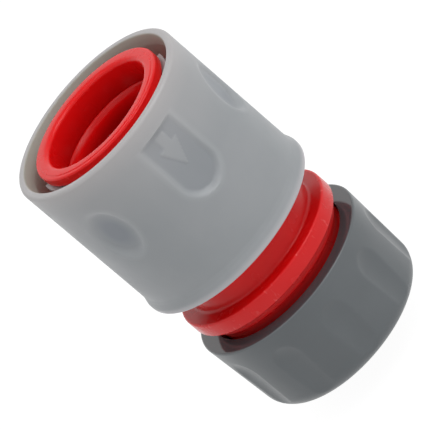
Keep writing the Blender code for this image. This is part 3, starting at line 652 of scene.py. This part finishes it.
def dress(piece, material, body, slot, *nodes, crease=CREASE):
    """Gives a piece its material, smooth shading and the body it rides on, and hides the CAD nodes it
    stands for.
    """
    piece.data.materials.clear()
    piece.data.materials.append(material)
    piece.data.shade_smooth()
    piece.data.set_sharp_from_angle(angle=math.radians(crease))
    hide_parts(*nodes)
    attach(piece, body)
    print(piece.name, "has", len(piece.data.polygons), "faces and rides on", body)


print("edges sharper than", CREASE, "degrees stay sharp")

# %% [markdown]
# ## Cutting and joining
# Windows and slots go right through a wall, so they are real cuts. The cutter is a small solid that a
# Boolean modifier takes away, and the result becomes the piece's mesh, so that the cutter can go.


# %% Cut and join
def swept_block(inner, outer, low, high, start, end, steps=6):
    """A block between two radii, two heights and two angles in degrees, in mm."""
    shape = bmesh.new()
    corners = [shape.verts.new((r * MM, 0, z * MM))
               for r, z in ((inner, low), (outer, low), (outer, high), (inner, high))]
    face = shape.faces.new(corners)
    bmesh.ops.rotate(shape, verts=corners, matrix=Matrix.Rotation(math.radians(start), 3, "Z"))
    bmesh.ops.spin(shape, geom=[face, *face.edges, *face.verts], axis=(0, 0, 1), cent=(0, 0, 0),
                   angle=math.radians(end - start), steps=steps, use_duplicate=False)
    bmesh.ops.remove_doubles(shape, verts=shape.verts, dist=1e-7)
    bmesh.ops.recalc_face_normals(shape, faces=shape.faces)
    return shape


def flat_block(outline, thickness, degrees):
    """An outline of (radius, height) points in mm given a thickness and turned to an angle."""
    shape = bmesh.new()
    face = shape.faces.new([shape.verts.new((r * MM, -thickness / 2 * MM, z * MM)) for r, z in outline])
    pushed = bmesh.ops.extrude_face_region(shape, geom=[face])
    for vert in [item for item in pushed["geom"] if isinstance(item, bmesh.types.BMVert)]:
        vert.co.y = thickness / 2 * MM
    bmesh.ops.recalc_face_normals(shape, faces=shape.faces)
    bmesh.ops.rotate(shape, verts=shape.verts, matrix=Matrix.Rotation(math.radians(degrees), 3, "Z"))
    return shape


def combine(piece, shapes, operation):
    """Joins shapes to a piece or cuts them from it, and keeps only the result."""
    tool_mesh = bpy.data.meshes.new("tool")
    whole = bmesh.new()
    for shape in shapes:
        part = bpy.data.meshes.new("part")
        shape.to_mesh(part)
        shape.free()
        whole.from_mesh(part)
        bpy.data.meshes.remove(part)
    whole.to_mesh(tool_mesh)
    whole.free()
    tool = add_object("tool", tool_mesh)
    cut = piece.modifiers.new("combine", "BOOLEAN")
    cut.operation = operation
    cut.solver = "EXACT"
    cut.object = tool
    bpy.context.view_layer.update()
    result = bpy.data.meshes.new_from_object(piece.evaluated_get(bpy.context.evaluated_depsgraph_get()))
    piece.modifiers.clear()
    piece.data = result
    bpy.data.objects.remove(tool)
    bpy.data.meshes.remove(tool_mesh)


print("made two kinds of cutter, swept_block and flat_block, and combine to use them")

# %% [markdown]
# ## Front ring
# The red ring closes the front and lines the mouth. Its face has a fine step round its outer edge, and
# the bore's lip is rounded so that the nipple finds its way in. It is a plain turned form, so the whole
# work is in its section.

# %% Front ring
RING_BOTTOM = FRONT - 2.0
FACE_STEP = 0.12
STEP_RADIUS = 13.35
ring_section = rounded([
    (RING_RADIUS, FRONT - FACE_STEP, 0.4),
    (RING_RADIUS, RING_BOTTOM, 0.25),
    (LINING_RADIUS, RING_BOTTOM, 0.1),
    (LINING_RADIUS, LEDGE + 0.05, 0.1),
    (MOUTH_RADIUS, LEDGE + 0.05, 0.1),
    (MOUTH_RADIUS, FRONT, 1.15),
    (STEP_RADIUS, FRONT, 0.05),
    (STEP_RADIUS + 0.07, FRONT - FACE_STEP, 0.03),
], steps=7)
front_ring = turned("ring_round_the_mouth", ring_section, steps=192)
dress(front_ring, red_abs, "socket", "red_plastic", "front_ring")

# %% [markdown]
# ## Thread
# The nut runs on a coarse right-hand thread, 3 mm a turn, which is easy to mould and quick to tighten by
# hand. A point's height within the pitch, less its share of the turn, says how far it is from the middle
# of a ridge. The ridge has sloping flanks and a flat crest, and dies out towards its ends.

# %% Thread ridge
PITCH = 3.0
RIDGE_HEIGHT = 0.6
RIDGE_BASE = 1.9
RIDGE_CREST = 0.6
RUN_OUT = 1.2


def ridge(z, angle, offset, low, high):
    """Height of the thread ridge in mm at a point. Offset is in pitches and sets nut and stub apart."""
    phase = (z / PITCH - angle / math.tau + offset) % 1.0
    distance = abs(phase - 0.5) * PITCH
    flank = 1 - smooth_step(distance, RIDGE_CREST / 2, RIDGE_BASE / 2)
    ends = smooth_step(z, low, low + RUN_OUT) * (1 - smooth_step(z, high - RUN_OUT, high))
    return RIDGE_HEIGHT * flank * ends


full_height = ridge(PITCH / 2, 0.0, offset=0.0, low=-PITCH, high=2 * PITCH)
print("the ridge is", full_height, "mm high and", RIDGE_BASE, "mm wide")

# %% [markdown]
# ## Socket body
# One red moulding from the tube round the nipple to the barbed tail that the hose is pushed on. Outside
# it shows the neck, the flange that stops the collar, a thinner disc and the thread. Inside are the
# ledge, the throat with the pawls' windows and the seal bore, and six ribs join the tail to the shell.
# The section holds all the turned forms, then the ribs are joined on and the windows are cut.

# %% Socket body section
SEAT_TOP = SPRING_BOTTOM - CLEARANCE
SEAT_BOTTOM = SEAT_TOP - 1.4
WINDOW_LOW = TOOTH_BOTTOM - STROKE - CLEARANCE
WINDOW_HIGH = TOOTH_TOP + CLEARANCE
SEAL_TOP = WINDOW_LOW - CLEARANCE - 1.6
CUP_FLOOR = SEAL_TOP - 7.0
CUP_BOTTOM = CUP_FLOOR - 1.85
CORE_TOP = SEAL_TOP - 0.925
THROAT_RADIUS = 10.7
SEAL_RADIUS = 8.05
DISC_RADIUS = 15.5
SEAT_RADIUS = COLLAR_INNER - 0.4
CUP_RADIUS = 9.9
STUB_INNER = STUB_RADIUS - 2.5
CORE_RADIUS = TUBE_RADIUS - 1.4
BARBS = 4
BARB_PITCH = 3.6
BARB_RADIUS = TAIL_RADIUS + 1.0
barb_corners = []
for i in range(BARBS):
    crest = TAIL_END + (BARBS - i) * BARB_PITCH
    barb_corners += [(TAIL_RADIUS, crest + CLEARANCE, 0.15), (BARB_RADIUS, crest, 0.12)]
body_corners = [
    (LINING_RADIUS + CLEARANCE, TUBE_TOP, 0.15), (TUBE_RADIUS, TUBE_TOP, 0.3),
    (TUBE_RADIUS, SEAT_TOP, 0.2), (SEAT_RADIUS, SEAT_TOP, 0.2), (SEAT_RADIUS, SEAT_BOTTOM, 0.2),
    (NECK_RADIUS, SEAT_BOTTOM, 0.2), (NECK_RADIUS, FLANGE_TOP, 0.6),
    (FLANGE_RADIUS, FLANGE_TOP, 0.4), (FLANGE_RADIUS, FLANGE_BOTTOM, 0.4),
    (DISC_RADIUS, FLANGE_BOTTOM, 0.15), (DISC_RADIUS, DISC_BOTTOM, 0.3),
    (STUB_RADIUS, DISC_BOTTOM, 0.15), (STUB_RADIUS, STUB_BOTTOM, 0.4), (STUB_INNER, STUB_BOTTOM, 0.3),
    (STUB_INNER, FLANGE_BOTTOM, 0.2), (CORE_RADIUS, FLANGE_TOP, 0.2), (CORE_RADIUS, CORE_TOP, 0.4),
    (CUP_RADIUS, CORE_TOP, 0.4), (CUP_RADIUS, CUP_BOTTOM, 0.9), (TAIL_RADIUS, CUP_BOTTOM, 0.4),
    *barb_corners, (TAIL_RADIUS - 0.4, TAIL_END, 0.3), (WATERWAY_RADIUS, TAIL_END, 0.3),
    (WATERWAY_RADIUS, CUP_FLOOR, 0.4), (SEAL_RADIUS, CUP_FLOOR, 0.3), (SEAL_RADIUS, SEAL_TOP, 0.4),
    (THROAT_RADIUS, WINDOW_LOW - CLEARANCE, 0.5), (THROAT_RADIUS, LEDGE - 1.1, 1.3),
    (THROAT_RADIUS + 0.5, LEDGE, 0.6), (LINING_RADIUS + CLEARANCE, LEDGE, 0.15),
]
THREAD_GAP = 0.12
body_section = closer(rounded(body_corners, steps=4), STUB_BOTTOM, DISC_BOTTOM, gap=THREAD_GAP,
                      side=STUB_RADIUS - 0.1)
print("the body's section has", len(body_section), "points")

# %% Turn the body, join its ribs and cut its windows


def stub_thread(radius, z, angle):
    """The stub's outer side carries the thread."""
    if radius < STUB_RADIUS - 0.05 or not STUB_BOTTOM + 0.3 < z < DISC_BOTTOM:
        return radius
    return radius + ridge(z, angle, offset=0.0, low=STUB_BOTTOM + 0.4, high=DISC_BOTTOM - 1.4)


body = turned("moulded_socket_body", body_section, steps=180, relief=stub_thread)
RIB_WIDTH = 1.3
RIB_INNER = TAIL_RADIUS - 0.7
RIB_OUTER = CORE_RADIUS + 0.7
RIB_STEP = CUP_RADIUS - 0.9
RIB_BOTTOM = FLANGE_TOP + 1.8
SUNK = 0.46          # how far the ribs go into the walls they join
rib_outline = [
    (RIB_INNER, RIB_BOTTOM), (RIB_OUTER, RIB_BOTTOM), (RIB_OUTER, CORE_TOP + SUNK),
    (RIB_STEP, CORE_TOP + SUNK), (RIB_STEP, CUP_BOTTOM + SUNK), (RIB_INNER, CUP_BOTTOM + SUNK),
]
combine(body, [flat_block(rib_outline, RIB_WIDTH, 30 + 60 * i) for i in range(6)], "UNION")
TOOTH_HALF = 14.0
WINDOW_HALF = TOOTH_HALF + math.degrees(CLEARANCE / THROAT_RADIUS)
pawl_azimuths = [72 * i - 90 for i in range(5)]
windows = [swept_block(THROAT_RADIUS - 1, TUBE_RADIUS + 1, WINDOW_LOW, WINDOW_HIGH,
                       azimuth - WINDOW_HALF, azimuth + WINDOW_HALF) for azimuth in pawl_azimuths]
combine(body, windows, "DIFFERENCE")
dress(body, red_abs, "socket", "red_plastic", "socket_body")

# %% [markdown]
# ## Locking collar
# A light grey sleeve with six grip scoops that get deeper to the rear and end in a steep wall that the
# finger pulls against. Two of them, on opposite sides, start at a straight edge near the mouth and carry
# a faint raised arrow. The others are ovals. The scoops' edges are soft, so they are pressed into the
# turned wall by the relief function instead of being cut. Inside are the shoulder that the spring pushes
# on and five catches that hook over the pawls.

# %% Scoop outlines
SCOOP_HALF = 4.6
SCOOP_TOP = FRONT - 3.5
SCOOP_LENGTH = 14.9
SCOOP_AZIMUTHS = [math.radians(-77.2 + 60 * i) for i in range(6)]
LONG_SCOOPS = SCOOP_AZIMUTHS[::3]
OVAL_HALF_LENGTH = (SCOOP_LENGTH - 2.7) / 2
ARROW_TIP = 8.9
ARROW_HEAD = 5.6
ARROW_TAIL = 0.9
ARROW_SPREAD = 0.45
SHAFT_HALF = 1.2
ARROW_HEIGHT = 0.15


def arrow(y, along):
    """Height in mm of the raised arrowhead at a point that far across and down the scoop."""
    to_tip = ARROW_TIP - along
    head = min(ARROW_HEAD - to_tip, to_tip * ARROW_SPREAD - abs(y))
    shaft = min(along - ARROW_TAIL, to_tip - ARROW_HEAD + 0.5, SHAFT_HALF - abs(y))
    return ARROW_HEIGHT * smooth_step(max(head, shaft), 0.0, 0.25)


def nearest_scoop(angle):
    """The scoop nearest to an angle: how far away it is in radians, and whether it is a long one."""
    aways = [(angle - azimuth + math.pi) % math.tau - math.pi for azimuth in SCOOP_AZIMUTHS]
    i = min(range(len(aways)), key=lambda k: abs(aways[k]))
    return aways[i], SCOOP_AZIMUTHS[i] in LONG_SCOOPS


def inside_scoop(y, along, is_long):
    """How far in mm a point lies inside a scoop's side and rear outline. It is negative outside."""
    if is_long:
        return SCOOP_HALF - math.hypot(y, max(0.0, along - (SCOOP_LENGTH - SCOOP_HALF)))
    lengthwise = (along - SCOOP_LENGTH + OVAL_HALF_LENGTH) * SCOOP_HALF / OVAL_HALF_LENGTH
    return SCOOP_HALF - math.hypot(y, lengthwise)


print("long scoops at", [round(math.degrees(azimuth), 1) for azimuth in LONG_SCOOPS], "degrees")

# %% [markdown]
# A scoop's floor is flat across and gets deeper to the rear. The relief fades in from the outline, and
# the mesh carries the distance from that outline for the painted shade and the painted rim highlight.

# %% Scoop relief
FRONT_DEPTH = 0.65
REAR_DEPTH = 1.15
SIDE_BLEND = 1.0
FRONT_BLEND = 0.35
OVAL_BLEND = 1.3
FLAT_FLOOR = 1.2
ARROW_LESS_SHADE = 0.7
OVAL_START = 0.4
FRONT_RISE = 2.5
FAR_OUTSIDE = -2.0
OUTER_SKIN = 1.4


def scooped(radius, z, angle):
    """The collar's outer radius with the scoops pressed in and the arrows raised."""
    along = SCOOP_TOP - z
    away, is_long = nearest_scoop(angle)
    if radius < COLLAR_RADIUS - 0.4 or abs(away) > 0.3 or not -0.1 < along < SCOOP_LENGTH + 0.1:
        return radius
    y = COLLAR_RADIUS * math.sin(away)
    floor_radius = COLLAR_RADIUS - FRONT_DEPTH - (REAR_DEPTH - FRONT_DEPTH) * along / SCOOP_LENGTH
    depth = max(0.0, radius - floor_radius / math.cos(away))
    blend = SIDE_BLEND if is_long else OVAL_BLEND
    pressed = depth * smooth_step(inside_scoop(y, along, is_long), -0.1, blend)
    if not is_long:
        return radius - pressed
    return radius - pressed * smooth_step(along, -0.05, FRONT_BLEND) + arrow(y, along)


def note_scoops(mesh):
    """Gives the outer side's points the attribute that the painted scoop shade and painted rim highlight
    follow: mm inside the nearest scoop.

    It stops rising on a long scoop's flat floor and is less on the arrow, so that the arrow gets less
    painted shade and is paler. On an oval it starts further in.
    """
    note = mesh.attributes.new("mm_inside_scoop", "FLOAT", "POINT")
    for vertex, value in zip(mesh.vertices, note.data):
        x, y, z = vertex.co / MM
        away, is_long = nearest_scoop(math.atan2(y, x))
        across = COLLAR_RADIUS * math.sin(away)
        along = SCOOP_TOP - z
        inside = min(inside_scoop(across, along, is_long), FRONT_RISE * along)
        if is_long:
            inside = min(inside, FLAT_FLOOR - ARROW_LESS_SHADE * arrow(across, along) / ARROW_HEIGHT)
        else:
            inside -= OVAL_START
        on_outer_side = math.hypot(x, y) > COLLAR_RADIUS - OUTER_SKIN
        value.value = max(FAR_OUTSIDE, inside) if on_outer_side else FAR_OUTSIDE


middle = scooped(COLLAR_RADIUS, SCOOP_TOP - SCOOP_LENGTH / 2, LONG_SCOOPS[0])
print("halfway a long scoop is %.2f mm deep" % (COLLAR_RADIUS - middle))

# %% Collar section and catches
BEAD_RADIUS = COLLAR_RADIUS + 0.5
SHOULDER_LOW = SPRING_TOP + CLEARANCE
SHOULDER_HIGH = PAWL_BOTTOM - CLEARANCE
SHOULDER_RADIUS = TUBE_RADIUS + 2 * CLEARANCE
collar_corners = [
    (COLLAR_INNER + 0.55, FRONT, 0.35), (COLLAR_RADIUS, FRONT, 0.9),
    (COLLAR_RADIUS, COLLAR_BOTTOM + 3.1, 0.5), (COLLAR_RADIUS + 0.125, COLLAR_BOTTOM + 2.3, 0.8),
    (BEAD_RADIUS, COLLAR_BOTTOM + 1.1, 0.7), (BEAD_RADIUS, COLLAR_BOTTOM, 0.75),
    (COLLAR_INNER, COLLAR_BOTTOM, 0.8), (COLLAR_INNER, SHOULDER_LOW, 0.2),
    (SHOULDER_RADIUS, SHOULDER_LOW, 0.2), (SHOULDER_RADIUS, SHOULDER_HIGH, 0.2),
    (COLLAR_INNER, SHOULDER_HIGH, 0.2), (COLLAR_INNER, FRONT - 2.3, 2.0),
]
collar_section = closer(rounded(collar_corners, steps=7), COLLAR_BOTTOM, FRONT, gap=0.3,
                        side=COLLAR_RADIUS - 0.1)
collar = turned("pull_back_collar", collar_section, steps=384, relief=scooped)
EAR_HEIGHT = 5.2
EAR_START = 21       # degrees from a pawl's middle to its ear's end
CATCH_LOW = PAWL_BOTTOM + EAR_HEIGHT + CLEARANCE
HALF_STEP = 36       # degrees from a pawl to the catch beside it
CATCH_HALF = HALF_STEP - EAR_START - math.degrees(CLEARANCE / (TUBE_RADIUS + CLEARANCE))
catch_azimuths = [azimuth + HALF_STEP for azimuth in pawl_azimuths]
catches = [swept_block(SHOULDER_RADIUS, COLLAR_INNER + 0.5, CATCH_LOW, CATCH_LOW + 1.2,
                       azimuth - CATCH_HALF, azimuth + CATCH_HALF) for azimuth in catch_azimuths]
combine(collar, catches, "UNION")
note_scoops(collar.data)
dress(collar, light_grey_pp, "collar", "light_grey_plastic", "locking_collar")

# %% [markdown]
# ## Pawls
# The five pawls are small blocks that show only as pale edges beside the red ring. Their CAD shapes are
# right, so they stay, with a fine bevel that gives their edges a moulded round, and the darker acetal, a
# painted shade.

# %% Pawls
EDGE_WIDTH = 0.12
for i in range(5):
    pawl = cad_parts[f"pawl_{i + 1}"]
    for material_slot in pawl.material_slots:
        material_slot.material = pawl_acetal_painted_shade
    edge = pawl.modifiers.new("moulded edge", "BEVEL")
    edge.width = EDGE_WIDTH * MM
    edge.segments = 2
    edge.limit_method = "ANGLE"
    edge.angle_limit = math.radians(35)
print("5 pawls dressed")

# %% [markdown]
# ## Collar spring
# A coil of round stainless wire in the space between tube and collar, with a closed turn at each end so
# that it stands straight.

# %% Collar spring
WIRE = 1.2
TURNS = 4
END_PITCH = 1.65
COIL_RADIUS = (TUBE_RADIUS + COLLAR_INNER) / 2
STEPS_A_TURN = 48
wire_curve = bpy.data.curves.new("coil", "CURVE")
wire_curve.dimensions = "3D"
wire_curve.bevel_depth = WIRE / 2 * MM
wire_curve.bevel_resolution = 4
wire_curve.use_fill_caps = True
coil = wire_curve.splines.new("POLY")
coil.points.add(TURNS * STEPS_A_TURN)
low = SPRING_BOTTOM + WIRE / 2
rise = SPRING_TOP - SPRING_BOTTOM - WIRE
for i, point in enumerate(coil.points):
    turn = i / STEPS_A_TURN
    z = low + min(turn, 1) * END_PITCH + max(0, turn - TURNS + 1) * END_PITCH
    z += max(0, min(turn - 1, TURNS - 2)) * (rise - 2 * END_PITCH) / (TURNS - 2)
    angle = turn * math.tau
    point.co = (COIL_RADIUS * math.cos(angle) * MM, COIL_RADIUS * math.sin(angle) * MM, z * MM, 1)
coil_object = add_object("coil", wire_curve)
bpy.context.view_layer.update()
depsgraph = bpy.context.evaluated_depsgraph_get()
coil_mesh = bpy.data.meshes.new_from_object(coil_object.evaluated_get(depsgraph))
bpy.data.objects.remove(coil_object)
spring = add_piece("coil_spring_in_the_collar", coil_mesh)
dress(spring, drawn_steel, "socket", "spring_steel", "collar_spring", crease=50)
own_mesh(spring)

# %% [markdown]
# ## Claw ring
# An off-white ring with eight claws. The nut's cone closes them, and their two rows of teeth bite the
# hose. It is turned like the others, and eight slots are cut between the claws.

# %% Claw ring
CONE_TOP = CLAW_TOP - 0.8
RING_LOW = CLAW_TOP - 1.0
NUT_FLOOR = 2.3
CONE_REAR_RADIUS = 11.6
CONE_FRONT_RADIUS = 14.3
SLOPE = (CONE_FRONT_RADIUS - CONE_REAR_RADIUS) / (CONE_TOP - NUT_FLOOR)
INSET = CLEARANCE * math.hypot(1, SLOPE)


def beside_cone(z):
    """Radius just inside the nut's cone at a height, in mm."""
    return CONE_REAR_RADIUS + SLOPE * (z - NUT_FLOOR) - INSET


ROW = (RING_LOW - CLAW_BOTTOM) / 2
HIP = (CLAW_BOTTOM + RING_LOW) / 2
BITE_RADIUS = HOSE_HOLE_RADIUS - 0.8
RING_INNER = HOSE_HOLE_RADIUS + 0.6
CLAW_ROOT = 11.4
claw_corners = [
    (RING_INNER, CLAW_TOP, 0.15), (beside_cone(CONE_TOP), CLAW_TOP, 0.2),
    (beside_cone(CONE_TOP), CONE_TOP, 0.15), (CLAW_ROOT, RING_LOW, 0.3), (beside_cone(HIP), HIP, 0.3),
    (beside_cone(CLAW_BOTTOM), CLAW_BOTTOM, 0.2), (HOSE_HOLE_RADIUS, CLAW_BOTTOM, 0.1),
    (BITE_RADIUS, CLAW_BOTTOM + 0.8 * ROW, 0.08), (HOSE_HOLE_RADIUS, CLAW_BOTTOM + ROW, 0.1),
    (BITE_RADIUS, CLAW_BOTTOM + 1.8 * ROW, 0.08), (HOSE_HOLE_RADIUS, RING_LOW, 0.1),
    (RING_INNER, RING_LOW + 0.6, 0.1),
]
claws = turned("claw_ring_for_the_hose", rounded(claw_corners, steps=4), steps=160)
slot_outline = [(0, 0), (NUT_BORE, 0), (NUT_BORE, RING_LOW), (0, RING_LOW)]
SLOT_WIDTH = 1.6
combine(claws, [flat_block(slot_outline, SLOT_WIDTH, 22.5 + 45 * i) for i in range(8)], "DIFFERENCE")
dress(claws, off_white_acetal, "clamp", "off_white_plastic", "claw_ring")

# %% [markdown]
# ## Hose nut
# The dark grey nut tapers slightly to the rear. Ten hollows run from near its front to its rear edge and
# leave rounded lands between them to grip. Each is a piece of a 10 mm cylinder laid along the nut, with a
# ball end towards the front. A ray from the axis meets that cylinder at a radius that can be worked out,
# and the smaller of it and the nut's own radius is the surface. A soft minimum rounds the edge between
# them.

# %% Grip hollows
RECESS_CURVE = 10.0
RECESS_DEPTH = 0.8
RECESS_REAR_DEPTH = 0.3
RECESS_AZIMUTHS = [math.radians(-88.3 + 36 * i) for i in range(10)]
RECESS_REACH = math.sqrt(RECESS_CURVE ** 2 - (RECESS_CURVE - RECESS_DEPTH) ** 2)
RECESS_START = NUT_LENGTH - 3.0 - RECESS_REACH
EDGE_ROUND = 0.035
BORE_BOTTOM = CONE_TOP + 0.8


def hollowed(radius, z, angle):
    """The nut's outer radius with the grip hollows, or its bore with the thread."""
    if radius < NUT_BORE + 0.05:
        on_bore = radius > NUT_BORE - 0.05 and z > BORE_BOTTOM
        thread = ridge(z, angle, offset=0.5, low=BORE_BOTTOM + 0.1, high=NUT_LENGTH - 0.5)
        return radius - thread if on_bore else radius
    if radius < NUT_REAR_RADIUS - 1.2:
        return radius
    nearest = min(abs((angle - azimuth + math.pi) % math.tau - math.pi) for azimuth in RECESS_AZIMUTHS)
    curve = RECESS_CURVE ** 2 - max(0.0, z - RECESS_START) ** 2
    lean = NUT_FRONT_RADIUS - NUT_REAR_RADIUS - RECESS_DEPTH + RECESS_REAR_DEPTH
    middle = NUT_FRONT_RADIUS - lean * (1 - z / NUT_LENGTH) - RECESS_DEPTH + RECESS_CURVE
    sideways = middle * math.sin(nearest)
    if curve <= sideways ** 2:
        return radius
    hollow = middle * math.cos(nearest) - math.sqrt(curve - sideways ** 2)
    gap = (radius - hollow) / EDGE_ROUND
    return radius - EDGE_ROUND * (math.log1p(math.exp(-abs(gap))) + max(0.0, gap))


print(len(RECESS_AZIMUTHS), "grip hollows, %.1f mm wide at the front" % (2 * RECESS_REACH))

# %% Hose nut
nut_corners = [
    (NUT_BORE, NUT_LENGTH, 0.3), (NUT_FRONT_RADIUS, NUT_LENGTH, 0.4), (NUT_REAR_RADIUS, 0, 3.5),
    (HOSE_HOLE_RADIUS, 0, 0.35), (HOSE_HOLE_RADIUS, NUT_FLOOR, 0.1),
    (CONE_REAR_RADIUS, NUT_FLOOR, 0.15), (CONE_FRONT_RADIUS, CONE_TOP, 0.2),
    (NUT_BORE, BORE_BOTTOM, 0.2),
]
nut_section = closer(rounded(nut_corners, steps=12), 0.3, NUT_LENGTH, gap=0.28, side=NUT_BORE - 0.1)
nut = turned("clamping_nut_for_the_hose", nut_section, steps=400, relief=hollowed)
dress(nut, dark_grey_abs, "nut", "dark_grey_plastic", "hose_nut")
